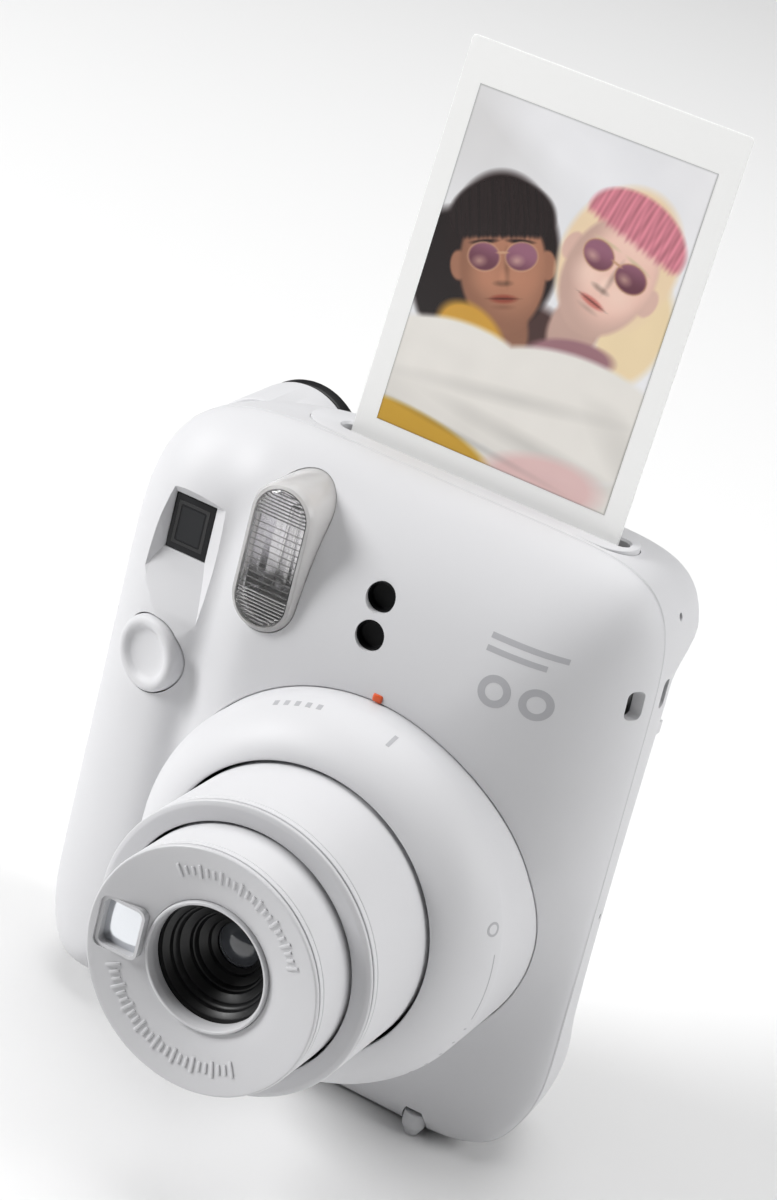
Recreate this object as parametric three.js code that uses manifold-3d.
// Instant camera with a twist-out lens and a freshly ejected print.
// Millimetres, +Z up, the lens looks along -Y. Inside the camera group the origin is the centre
// of the extended lens face: x to the right, y back into the body, z up.
import * as THREE from 'three';
import { mergeVertices } from 'three/addons/utils/BufferGeometryUtils.js';
import Module from 'manifold-3d';

const wasm = await Module();
wasm.setup();

// ---------------------------------------------------------------- driving dimensions
const ORIGIN = new THREE.Vector3(9.45, -48.3, 50); // lens face centre above the camera's own foot print
const WALL = 2; // moulded shell thickness
const GAP = 0.3; // clearance between neighbouring pieces
const SEAM = 64; // depth of the joint between front and rear cover
const PLATEAU = 18.5; // height of the front cover's middle above the seam
const GRIP = 16.5; // the same on the hand grip
const VALLEY = 14.5; // the same in the groove between grip and middle
const SCOOP = 12.5; // how far the lower right corner of the front falls away
const REAR = 21; // depth of the rear cover behind the seam
const HOUSING = 27; // the same at the roller housing
const RING = { radius: 36, front: 30.4, back: 59.3, lip: 27.2, wall: 1.8 };
const OUTER = { radius: 26.6, front: 10.5, back: 41, bore: 24.9 };
const INNER = { radius: 22.3, front: 0, back: 27, bore: 20.5 };
const HOLE = RING.radius + 0.9; // round opening of the front cover
const FILM = { width: 54, height: 86, thick: 0.5, lean: 0.119 };
const PRINT_AT = { x: -1.7, y: 68.7, z: 58.5 }; // middle of the print's lower end
const EXIT = { x: -4, y: 70.8, length: 66, width: 11 };
const ROLLER = { radius: 3, z: 62, front: 65.7, rear: 72.5 };
const GEARS = [29.8, 31]; // the gear train's stretch across x
const DRIVE = [65.7, 53.4]; // depth and height of the drive gear's axis
const MOTOR = [59.5, 50.5]; // the same for the motor
const VIEW = { x: -46.7, z: 48.7 };
const EYE = { x: -46.5, z: 56.3, radius: 10.5 };
const FLASH = { x: -26.3, z: 53.2, width: 12.6, height: 28.4, front: 44.5 };
const BUTTON = { x: -47.2, y: 48.6, z: 24.2, radius: 7.2, turn: -16.3 };
const SENSORS = [[-5.8, 53.5, 48.4], [-5.3, 46.8, 46.6]];
const FEET = [[-40, 57], [-40, 77], [22, 61.2], [22, 77]];
const DOOR = { left: -31.5, right: 35.3, bottom: -44, top: 46, hinge: [36.6, 79.2] };
const LUGS = [-35.2, 40]; // heights of the two ears that hold the film door's pin
const BATTERY_DOOR = { edge: -41.5, bottom: -42, top: 11, hinge: [-40.6, 82.6] };

// Half planes whose smooth blend is the camera's outline: outward direction, distance from the
// lens axis, and how far inside the outline the front cover starts to round off.
const SIDES = [
  { nx: -1, nz: 0, reach: 62.2, fade: 23 },
  { nx: 1, nz: 0.021, reach: 42.8, fade: 34 },
  { nx: 0, nz: 1, reach: 71.5, fade: 36 },
  { nx: 0, nz: -1, reach: 49.2, fade: 12 },
  { nx: -Math.SQRT1_2, nz: Math.SQRT1_2, reach: 89.2, fade: 28 },
  { nx: -Math.SQRT1_2, nz: -Math.SQRT1_2, reach: 74.1, fade: 16 },
  { nx: Math.SQRT1_2, nz: -Math.SQRT1_2, reach: 59.9, fade: 18 },
];

// ---------------------------------------------------------------- materials
const paint = (color, roughness, metalness = 0) =>
  new THREE.MeshStandardMaterial({ color, roughness, metalness });
const WHITE = paint(0xe4e4e9, 0.4);
const GREY = paint(0xb5b6bb, 0.5);
const BLACK = paint(0x1a1a1c, 0.5);
const RUBBER = paint(0x202022, 0.8);
const STEEL = paint(0xb9bbbd, 0.3, 1);
const BRASS = paint(0xc8a050, 0.35, 1);
const CLEAR = paint(0xdfe6ea, 0.05);
const MIRROR = paint(0xd8dfe6, 0.03, 1);
const PAPER = paint(0xf1f0ec, 0.6);
const ORANGE = paint(0xe0502a, 0.4);
const GREEN = paint(0x2f6b45, 0.6);

// ---------------------------------------------------------------- geometry helpers
const ramp = (a, b, v) => Math.min(Math.max((v - a) / (b - a), 0), 1);
const smooth = (a, b, v) => {
  const t = ramp(a, b, v);
  return t * t * (3 - 2 * t);
};
const mix = (a, b, t) => a + (b - a) * t;

// Welds a geometry, drops empty triangles and turns its faces outward.
function solid(geometry) {
  const g = geometry.clone();
  g.deleteAttribute('normal');
  g.deleteAttribute('uv');
  const w = mergeVertices(g, 1e-4);
  const p = w.attributes.position;
  const at = w.index.array;
  const keep = [];
  let volume = 0;
  const [a, b, c] = [new THREE.Vector3(), new THREE.Vector3(), new THREE.Vector3()];
  for (let i = 0; i < at.length; i += 3) {
    const [i0, i1, i2] = [at[i], at[i + 1], at[i + 2]];
    if (i0 === i1 || i1 === i2 || i2 === i0) continue;
    keep.push(i0, i1, i2);
    a.fromBufferAttribute(p, i0);
    b.fromBufferAttribute(p, i1);
    c.fromBufferAttribute(p, i2);
    volume += a.dot(b.cross(c));
  }
  if (volume < 0) keep.reverse();
  w.setIndex(keep);
  return w;
}

const toManifold = (geometry) => {
  const g = solid(geometry);
  return new wasm.Manifold(new wasm.Mesh({
    numProp: 3,
    vertProperties: new Float32Array(g.attributes.position.array),
    triVerts: new Uint32Array(g.index.array),
  }));
};

const fromManifold = (manifold) => {
  const mesh = manifold.getMesh();
  const g = new THREE.BufferGeometry();
  g.setAttribute('position', new THREE.Float32BufferAttribute(mesh.vertProperties, 3));
  g.setIndex(Array.from(mesh.triVerts));
  return g;
};

const cut = (body, ...tools) =>
  fromManifold(tools.reduce((m, t) => m.subtract(toManifold(t)), toManifold(body)));
const join = (body, ...more) =>
  fromManifold(more.reduce((m, t) => m.add(toManifold(t)), toManifold(body)));
const common = (a, b) => fromManifold(toManifold(a).intersect(toManifold(b)));

// Box between two corners.
const box = (x0, x1, y0, y1, z0, z1) => new THREE.BoxGeometry(x1 - x0, y1 - y0, z1 - z0)
  .translate((x0 + x1) / 2, (y0 + y1) / 2, (z0 + z1) / 2);
// Turned piece about the line along Y through (x, z); profile points are [radius, depth].
const turned = (profile, x = 0, z = 0, sides = 36) =>
  new THREE.LatheGeometry(profile.map(([r, y]) => new THREE.Vector2(r, y)), sides).translate(x, 0, z);
const closedTurned = (profile, x, z, sides) => turned([...profile, profile[0]], x, z, sides);
const disc = (r, y0, y1, x = 0, z = 0, sides = 20) =>
  turned([[0, y0], [r, y0], [r, y1], [0, y1]], x, z, sides);
const tube = (r0, r1, y0, y1, x = 0, z = 0, sides = 32) =>
  closedTurned([[r0, y0], [r1, y0], [r1, y1], [r0, y1]], x, z, sides);
// Round bar along 'x' or 'z'.
const bar = (axis, r, from, to, u, v, sides = 16) => {
  const g = new THREE.CylinderGeometry(r, r, to - from, sides);
  if (axis === 'x') return g.rotateZ(Math.PI / 2).translate((from + to) / 2, u, v);
  return g.rotateX(Math.PI / 2).translate(u, v, (from + to) / 2);
};
// Solid between two rectangles [x0, x1, z0, z1] at two depths.
function loft(a, y0, b, y1) {
  const g = new THREE.BoxGeometry(1, 1, 1);
  const p = g.attributes.position;
  for (let i = 0; i < p.count; i += 1) {
    const [rect, y] = p.getY(i) < 0 ? [a, y0] : [b, y1];
    p.setXYZ(i, p.getX(i) < 0 ? rect[0] : rect[1], y, p.getZ(i) < 0 ? rect[2] : rect[3]);
  }
  return g;
}
// Upright stadium prism between two depths, grown by pad.
function stadium(x, z, width, height, y0, y1, pad = 0) {
  const r = width / 2 + pad;
  const h = height / 2 - width / 2;
  const s = new THREE.Shape();
  s.absarc(0, h, r, 0, Math.PI, false);
  s.absarc(0, -h, r, Math.PI, 2 * Math.PI, false);
  s.closePath();
  return new THREE.ExtrudeGeometry(s, { depth: y1 - y0, bevelEnabled: false, curveSegments: 8 })
    .rotateX(Math.PI / 2).translate(x, y1, z);
}
// Lying stadium prism between two heights.
function slot(x, y, length, width, z0, z1) {
  const r = width / 2;
  const h = length / 2 - r;
  const s = new THREE.Shape();
  s.absarc(h, 0, r, -Math.PI / 2, Math.PI / 2, false);
  s.absarc(-h, 0, r, Math.PI / 2, 1.5 * Math.PI, false);
  s.closePath();
  return new THREE.ExtrudeGeometry(s, { depth: z1 - z0, bevelEnabled: false, curveSegments: 8 })
    .translate(x, y, z0);
}

// ---------------------------------------------------------------- body shell
// 0 well inside the outline, 1 on it.
const edge = (x, z, inset = 0) => SIDES.reduce((sum, s) => {
  const q = 1 - (s.reach - inset - s.nx * x - s.nz * z) / s.fade;
  return sum + (q > 0 ? q ** 5 : 0);
}, 0) ** 0.2;

// Distance from the lens axis to the outline in a direction.
function reach(angle, inset = 0) {
  let [near, far] = [0, 140];
  for (let i = 0; i < 40; i += 1) {
    const r = (near + far) / 2;
    if (edge(r * Math.cos(angle), r * Math.sin(angle), inset) < 1) near = r;
    else far = r;
  }
  return near;
}

// Height of the front cover's surface above the seam.
function rise(x, z, inset) {
  const grip = 1 - (1 - ramp(-37.5, -44.5, x)) ** 2;
  const valley = ramp(-27.5, -37.5, x) ** 1.6;
  const top = mix(mix(PLATEAU, VALLEY, valley), GRIP, grip);
  const scoop = SCOOP * smooth(5, 38, 0.55 * x - 0.83 * z);
  const q = Math.min(edge(x, z, inset), 1);
  return (top - scoop - inset) * Math.max(1 - q ** 2.2, 0) ** 0.6;
}
const frontDepth = (x, z, inset = 0) => SEAM - rise(x, z, inset);

// Depth of the rear cover's surface at distance r of the outline distance full.
function rearDepth(angle, r, full, inset) {
  const upper = smooth(47.5, 55, r * Math.sin(angle));
  const corner = smooth(-0.42, -0.62, Math.cos(angle));
  const fade = mix(mix(15, 6, smooth(-0.4, -0.7, Math.sin(angle))), mix(9, 22, corner), upper);
  const q = Math.min(Math.max(1 - (full - r) / fade, 0), 1);
  return SEAM + (mix(REAR, HOUSING, upper) - inset) * Math.sqrt(1 - q * q);
}

// Closed skin through rings of points; each ring is a list of [x, y, z], the last joins the first.
function skin(rings, loop) {
  const n = rings[0].length;
  const rows = loop ? rings.length : rings.length - 1;
  const index = [];
  for (let i = 0; i < rows; i += 1) {
    const j = (i + 1) % rings.length;
    for (let k = 0; k < n; k += 1) {
      const m = (k + 1) % n;
      const [a, b, c, d] = [i * n + k, i * n + m, j * n + m, j * n + k];
      index.push(a, b, c, a, c, d);
    }
  }
  const g = new THREE.BufferGeometry();
  g.setAttribute('position', new THREE.Float32BufferAttribute(rings.flat(2), 3));
  g.setIndex(index);
  return g;
}

const AROUND = 48;
const turns = Array.from({ length: AROUND }, (_, i) => (i / AROUND) * 2 * Math.PI);
const ease = (k, n) => 1 - (1 - k / n) ** 2;

function frontShell() {
  const rows = 6;
  const ring = (k, inset) => turns.map((t) => {
    const r = mix(HOLE, reach(t, inset), ease(k, rows));
    const [x, z] = [r * Math.cos(t), r * Math.sin(t)];
    return [x, k === rows ? SEAM : frontDepth(x, z, inset), z];
  });
  const steps = Array.from({ length: rows + 1 }, (_, k) => k);
  const outer = steps.map((k) => ring(k, 0));
  const inner = steps.map((k) => ring(rows - k, WALL));
  return skin([...outer, ...inner], true);
}

function rearShell() {
  const rows = 6;
  const ring = (k, inset) => turns.map((t) => {
    const full = reach(t, inset);
    const r = full * ease(k, rows);
    const y = k === rows ? SEAM + GAP / 3 : rearDepth(t, r, full, inset);
    return [r * Math.cos(t), y, r * Math.sin(t)];
  });
  const steps = Array.from({ length: rows + 1 }, (_, k) => k);
  const outer = steps.map((k) => ring(k, 0));
  const inner = steps.map((k) => ring(rows - k, WALL));
  return skin([...outer, ...inner], false);
}

const rearSkin = rearShell();
const footHoles = FEET.map(([x, y]) => bar('z', 2.3 + GAP, -52, -44, x, y));
const strapSlots = [box(36, 46, 57.8, 61, 46.5, 52), box(36, 46, 67.4, 70.4, 46.5, 52)];
const doorHole = box(DOOR.left - GAP, DOOR.right + 4, 77.2, 90, DOOR.bottom - GAP, DOOR.top + GAP);
const batteryHole = join(
  box(-66, BATTERY_DOOR.edge + GAP, 66, 80, BATTERY_DOOR.bottom - GAP, BATTERY_DOOR.top + GAP),
  box(-58, BATTERY_DOOR.edge + 3.2, 79, 90, BATTERY_DOOR.bottom - GAP, BATTERY_DOOR.top + GAP),
);

const makeFrontCover = () => cut(
  frontShell(),
  loft([-56.5, -37.6, 37, 58.5], 38, [VIEW.x - 4.5, VIEW.x + 4.5, 43, 54.4], 54),
  stadium(FLASH.x, FLASH.z, FLASH.width, FLASH.height, 38, 62, GAP),
  ...SENSORS.map(([x, z]) => disc(3.1, 40, 60, x, z)),
  new THREE.CylinderGeometry(BUTTON.radius + GAP, BUTTON.radius + GAP, 16, 32)
    .rotateZ(THREE.MathUtils.degToRad(BUTTON.turn)).translate(BUTTON.x, BUTTON.y, BUTTON.z),
  box(-1.4, 1.4, 40, 50, 36, 39.4),
  strapSlots[0],
  footHoles[0],
  footHoles[2],
);

const hingeLug = (z) => join(
  bar('z', 1.7, z - 1.3, z + 1.3, ...DOOR.hinge),
  box(35.4, 38.2, 75, 79.2, z - 1.3, z + 1.3),
  box(37, 40.6, 72.6, 76, z - 1.3, z + 1.3),
);

const makeRearCover = () => cut(
  join(cut(rearSkin, doorHole), ...LUGS.map(hingeLug), disc(12, 75, 89.8, EYE.x, EYE.z, 32)),
  batteryHole,
  slot(EXIT.x, EXIT.y, EXIT.length + 2 * GAP, EXIT.width + 2 * GAP, 66, 76),
  disc(EYE.radius - 1, 74, 100, EYE.x, EYE.z),
  box(EYE.x - 5.4, EYE.x + 5.4, 72, 84.3, EYE.z - 10.4, EYE.z),
  bar('z', 1.1, -48, 48, ...DOOR.hinge, 12),
  bar('z', 1.1, BATTERY_DOOR.bottom - 3, BATTERY_DOOR.top + 3, ...BATTERY_DOOR.hinge, 12),
  box(-36.7, -34.3, 80, 90, -6.5, 4.5),
  disc(3.3, 80, 96, 24, 60, 24),
  strapSlots[1],
  footHoles[1],
  footHoles[3],
);

// ---------------------------------------------------------------- lens
function ringProfile() {
  const shoulder = { y: 41, depth: 41 - RING.front, width: RING.radius - RING.lip - 0.3 };
  const power = 1.65;
  const dome = (offset, steps) => Array.from({ length: steps + 1 }, (_, i) => {
    const phi = (i / steps) * (Math.PI / 2);
    const r = RING.lip + 0.3 + (shoulder.width - offset) * Math.sin(phi) ** (2 / power);
    return [r, shoulder.y - (shoulder.depth - offset) * Math.cos(phi) ** (2 / power)];
  });
  const outside = dome(0, 6);
  const inside = dome(RING.wall, 4).reverse();
  return [
    [RING.lip, RING.front + 0.6], ...outside, [RING.radius, RING.back],
    [RING.radius - RING.wall, RING.back], ...inside, [RING.lip, RING.front + RING.wall],
  ];
}

const ringGeometry = () => closedTurned(ringProfile());

const outerBarrel = () => closedTurned([
  [OUTER.bore, OUTER.front + 1.4], [OUTER.radius, OUTER.front + 1.4],
  [OUTER.radius, OUTER.back], [OUTER.bore, OUTER.back],
]);

const outerBezel = () => closedTurned([
  [22.8, OUTER.front + 0.2], [25.9, OUTER.front], [OUTER.radius, OUTER.front + 0.6],
  [OUTER.radius, OUTER.front + 1.1], [24.6, OUTER.front + 1.1], [22.8, OUTER.front + 3],
]);

const innerBarrel = () => closedTurned([
  [21.3, 1.3], [INNER.radius, 1.3], [INNER.radius, INNER.back], [INNER.bore, INNER.back],
  [INNER.bore, 5], [21.3, 5],
]);

// Grey dished face with the square window of the mirror.
const faceRing = () => cut(
  closedTurned([
    [11.9, 2.5], [21.4, 0.15], [22, INNER.front], [INNER.radius, 1], [20.2, 1],
    [20.2, 3.2], [11.9, 4.6],
  ]),
  box(-20.9, -12.2, -3, 8, -4.7, 5.3),
);

const mirrorGeometry = () => join(
  loft([-20.5, -12.6, -4.3, 4.9], 2.2, [-20.5, -12.6, -4.3, 4.9], 3.6),
  loft([-19.2, -14, -3.2, 3.8], 1.9, [-20.5, -12.6, -4.3, 4.9], 2.3),
);

const apertureRing = () => closedTurned([
  [10.9, 2.9], [11.2, 2.3], [11.6, 2.3], [11.6, 4.8], [10.9, 4.8],
], 0, 0, 32);

// Stepped black funnel that leads down to the front element.
function baffle() {
  const steps = 3;
  const profile = [];
  for (let i = 0; i < steps; i += 1) {
    const r = 10.8 - i * 2;
    const y = 5 + i * 3;
    profile.push([r, y], [r, y + 2.8]);
  }
  const last = profile[profile.length - 1];
  return closedTurned([...profile, [last[0], 15], [12.2, 15], [12.2, 5.1]], 0, 0, 28);
}

const lensElement = (r, front, back, bulge, thick) => turned([
  [0, front - bulge], [r * 0.5, front - bulge * 0.74], [r * 0.85, front - bulge * 0.26], [r, front],
  [r, back], [r * 0.6, back + thick], [0, back + thick * 1.4],
], 0, 0, 24);

// ---------------------------------------------------------------- flash
const flashCover = () => cut(
  stadium(FLASH.x, FLASH.z, FLASH.width, FLASH.height, FLASH.front, 59),
  stadium(FLASH.x, FLASH.z, FLASH.width - 2, FLASH.height - 2, FLASH.front + 1.4, 62),
);

const flashReflector = () => cut(
  stadium(FLASH.x, FLASH.z, FLASH.width - 3, FLASH.height - 3, 47, 58),
  new THREE.SphereGeometry(1, 16, 10).scale(4.3, 8.4, 12.2).translate(FLASH.x, 46.4, FLASH.z),
);

// ---------------------------------------------------------------- chassis pieces
const lightBox = () => cut(
  box(-27, 27, 61.8, 69.4, -35, 35),
  loft([-21, 21, -27, 27], 61, [-23, 23, -31, 31], 70),
);

const sleeve = () => closedTurned([
  [27.5, 34.5], [29.3, 34.5], [29.3, 59.8], [36.3, 59.8], [36.3, 61.4], [27.5, 61.4],
]);

const cartridge = () => cut(
  box(-30, 30, 70, 77.5, -43.4, 45.4),
  box(-28, 28, 71.2, 76.4, -42.2, 44.2),
  box(-23, 23, 69, 72, -31, 31),
  box(-28, 28, 71.2, 73.8, 43, 47),
);

const rollerFrame = () => cut(
  join(
    box(-32.5, -30.5, 61.5, 77.5, 55, 65.2),
    box(27.5, 29.5, 61.5, 77.5, 55, 65.2),
    box(-31, 28, 76.3, 77.5, 55, 65.2),
  ),
  bar('x', 1.3, -40, 40, ROLLER.front, ROLLER.z, 16),
  bar('x', 1.3, -40, 40, ROLLER.rear, ROLLER.z, 16),
);

const roller = (y) => join(
  bar('x', ROLLER.radius, -29.5, 26.5, y, ROLLER.z),
  bar('x', 1, -33.2, 31.9, y, ROLLER.z, 12),
);

// Spur gear on an axis along x, with square teeth.
function gear(r, teeth, x0, x1, y, z, bore) {
  const s = new THREE.Shape();
  const corners = teeth * 4;
  for (let i = 0; i < corners; i += 1) {
    const a = (i / corners) * 2 * Math.PI;
    const rr = i % 4 < 2 ? r : r - 0.8;
    if (i === 0) s.moveTo(rr, 0);
    else s.lineTo(rr * Math.cos(a), rr * Math.sin(a));
  }
  s.closePath();
  const hole = new THREE.Path();
  hole.absarc(0, 0, bore, 0, 2 * Math.PI, true);
  s.holes.push(hole);
  return new THREE.ExtrudeGeometry(s, { depth: x1 - x0, bevelEnabled: false, curveSegments: 6 })
    .rotateY(Math.PI / 2).translate(x0, y, z);
}

function viewfinderTunnel() {
  const front = (w) => [VIEW.x - w + 0.8, VIEW.x + w, VIEW.z - w - 1.2, VIEW.z + w + 0.4];
  const back = (w) => [EYE.x - w, EYE.x + w, EYE.z - 3 - w, EYE.z - 3 + w];
  return cut(loft(front(3.9), 54.9, back(5), 84), loft(front(2.9), 54, back(4), 85));
}

// ---------------------------------------------------------------- doors
const filmDoor = () => join(
  common(rearSkin, box(DOOR.left, DOOR.right, 77.5, 90, DOOR.bottom, DOOR.top)),
  cut(
    join(
      bar('z', 1.7, LUGS[0] + 1.6, LUGS[1] - 1.6, ...DOOR.hinge),
      box(DOOR.right - 2, DOOR.hinge[0], 78.6, 80.2, LUGS[0] + 1.6, LUGS[1] - 1.6),
    ),
    bar('z', 1.1, -60, 60, ...DOOR.hinge, 12),
  ),
);

const filmDoorGeometry = () => cut(
  filmDoor(),
  stadium(-6, 2, 7, 26, 78, 90),
  ...LUGS.map((z) => box(34.5, 39, 76, 81.3, z - 1.6, z + 1.6)),
);

const batteryDoor = () => join(
  common(rearSkin, join(
    box(-66, BATTERY_DOOR.edge, 66 + GAP, 80, BATTERY_DOOR.bottom, BATTERY_DOOR.top),
    box(-57.5, BATTERY_DOOR.edge, 79, 90, BATTERY_DOOR.bottom, BATTERY_DOOR.top),
  )),
  box(BATTERY_DOOR.edge - 1, BATTERY_DOOR.hinge[0], 82.1, 83.1, BATTERY_DOOR.bottom, BATTERY_DOOR.top),
  bar('z', 0.8, BATTERY_DOOR.bottom - 2.4, BATTERY_DOOR.top + 2.4, ...BATTERY_DOOR.hinge, 12),
);

// ---------------------------------------------------------------- assembly
const group = new THREE.Group();
const camera = new THREE.Group();
camera.position.copy(ORIGIN);
group.add(camera);

function add(name, geometry, material, parent = camera) {
  const mesh = new THREE.Mesh(solid(geometry), material);
  mesh.name = name;
  parent.add(mesh);
  return mesh;
}

// Casing
add('front_cover', makeFrontCover(), WHITE);
add('rear_cover', makeRearCover(), WHITE);
add('film_exit_frame', cut(
  slot(EXIT.x, EXIT.y, EXIT.length, EXIT.width, 69.6, 71.5),
  slot(PRINT_AT.x, 70.4, 58, 3.4, 68, 74),
), WHITE);
add('index_mark', box(-1.1, 1.1, 44.6, 47, 36.9, 39), ORANGE);
add('strap_bar', box(36.2, 38.2, 61.8, 66.6, 45, 53.5), STEEL);
FEET.forEach(([x, y], i) => add(`foot_${i + 1}`, bar('z', 2.3, -50, -45, x, y), RUBBER));

// Viewfinder
add('viewfinder_window', box(VIEW.x - 4.1, VIEW.x + 4.1, 52.5, 54, VIEW.z - 5.3, VIEW.z + 5.3), CLEAR);
add('viewfinder_tunnel', viewfinderTunnel(), BLACK);
add('eyecup', closedTurned([
  [6.9, 88], [6.4, 94.5], [7.6, 96.6], [9.8, 96.2], [EYE.radius, 91.6], [9, 91.2], [9, 88],
], EYE.x, EYE.z, 24), RUBBER);
add('eyepiece_lens', turned([
  [0, 87.6], [5, 88], [6.5, 88.6], [6.5, 90], [4, 91], [0, 91.4],
], EYE.x, EYE.z, 24), CLEAR);

// Flash
add('flash_cover', flashCover(), CLEAR);
add('flash_reflector', flashReflector(), STEEL);
add('flash_tube', bar('z', 1.1, FLASH.z - 8.5, FLASH.z + 8.5, FLASH.x, 50.6, 16), CLEAR);
add('flash_capacitor', bar('z', 4.4, 11, 38, -36, 66.4, 24), BLACK);

// Sensors beside the flash
SENSORS.forEach(([x, z, y], i) => add(`sensor_window_${i + 1}`, disc(2.8, y + 1, y + 3, x, z), BLACK));

// Chassis
add('light_box', lightBox(), BLACK);
add('barrel_sleeve', sleeve(), BLACK);
add('circuit_board', box(-14, 20, 51.9, 53, 37.5, 53), GREEN);
add('film_motor', bar('x', 6, 3, 27, ...MOTOR, 24), STEEL);
add('roller_frame', rollerFrame(), BLACK);
add('film_cartridge', cartridge(), BLACK);
add('film_stack', box(-27, 27, 71.5, 73.5, -42, 44), PAPER);
[59.5, 74.2].forEach((y, i) => add(`battery_${i + 1}`, join(
  bar('z', 6.9, -36.6, 11.4, -46.4, y, 24),
  bar('z', 2.6, 11, 12.7, -46.4, y, 12),
), STEEL));
add('battery_contact', box(-51.5, -41.5, 54.5, 79, 13, 13.7), BRASS);
add('door_hinge_pin', bar('z', 0.8, LUGS[0] - 1, LUGS[1] + 1, ...DOOR.hinge, 12), STEEL);
add('counter_window', disc(3, 89.4, 91, 24, 60, 24), CLEAR);
add('counter_wheel', turned([[0, 85], [5, 85], [5, 86.4], [0, 86.4]], 24, 57.5, 28), WHITE);

// Lens: twist ring, two telescoping barrels, optics and shutter
add('lens_ring', ringGeometry(), WHITE);
add('outer_barrel', outerBarrel(), WHITE);
add('outer_bezel', outerBezel(), GREY);
add('inner_barrel', innerBarrel(), WHITE);
add('face_ring', faceRing(), GREY);
add('selfie_mirror', mirrorGeometry(), MIRROR);
add('aperture_ring', apertureRing(), GREY);
add('lens_baffle', baffle(), BLACK);
add('front_lens', lensElement(5.4, 12.6, 13.6, 2, 0.6), CLEAR);
add('shutter_plate', join(tube(4, 20.2, 16.6, 17.6, 0, 0, 28), disc(0.6, 17.3, 20.4, 12.5, 0, 12)), BLACK);
add('shutter_blade', cut(
  join(box(-5.2, 5.2, 18, 18.5, -5, 5), box(4, 14, 18, 18.5, -1.8, 1.8)),
  disc(0.9, 17, 20, 12.5, 0, 12),
), STEEL);
add('rear_lens', lensElement(5.4, 22.6, 23.4, 1.2, 0.6), CLEAR);
add('lens_holder', closedTurned([[5.6, 20.8], [20.2, 20.8], [20.2, 22.2], [7.6, 22.2], [7.6, 25.5],
  [5.6, 25.5]], 0, 0, 28), BLACK);

// Shutter button, tilted with the grip's surface
const trigger = new THREE.Group();
trigger.position.set(BUTTON.x, BUTTON.y, BUTTON.z);
trigger.rotation.z = THREE.MathUtils.degToRad(BUTTON.turn);
camera.add(trigger);
add('shutter_button', turned([
  [0, -0.1], [3.6, 0], [5.2, -1.2], [6.5, -1.2], [BUTTON.radius, -0.2], [BUTTON.radius, 3],
  [2, 3], [2, 5], [0, 5],
], 0, 0, 28), WHITE, trigger);
add('button_spring', tube(2.8, 3.4, 4.7, 6.9, 0, 0, 16), STEEL, trigger);
add('shutter_switch', box(-4, 4, 7.1, 9.6, -4, 4), BLACK, trigger);

// Doors
add('film_door', filmDoorGeometry(), WHITE);
add('film_window', stadium(-6, 2, 6.4, 25.4, 83.2, 84.6), CLEAR);
add('door_pad', box(-20, 20, 77.9, 82.7, -30, 30), RUBBER);
add('door_latch', join(
  box(-37.3, -33.7, 85.3, 86.6, -9, 7),
  box(-36.4, -34.6, 81, 85.6, -6, 0),
), WHITE);
add('battery_door', batteryDoor(), WHITE);

// Film transport
add('roller_front', roller(ROLLER.front), STEEL);
add('roller_rear', roller(ROLLER.rear), STEEL);
add('roller_gear_front', gear(3.3, 10, ...GEARS, ROLLER.front, ROLLER.z, 1.3), WHITE);
add('roller_gear_rear', gear(3.3, 10, ...GEARS, ROLLER.rear, ROLLER.z, 1.3), WHITE);
add('drive_gear', join(
  gear(5, 15, ...GEARS, ...DRIVE, 1),
  bar('x', 1.2, 29, 32.2, ...DRIVE, 16),
), WHITE);
add('motor_pinion', join(
  bar('x', 1.7, ...GEARS, ...MOTOR, 12),
  bar('x', 0.8, 27.2, 32, ...MOTOR, 12),
), BRASS);

// Ejected print, leaning slightly back
const sheet = new THREE.Group();
sheet.position.set(PRINT_AT.x, PRINT_AT.y, PRINT_AT.z);
sheet.rotation.x = -Math.atan(FILM.lean);
camera.add(sheet);
add('print', box(-FILM.width / 2, FILM.width / 2, -FILM.thick / 2, FILM.thick / 2, 0, FILM.height),
  PAPER, sheet);

export default group;
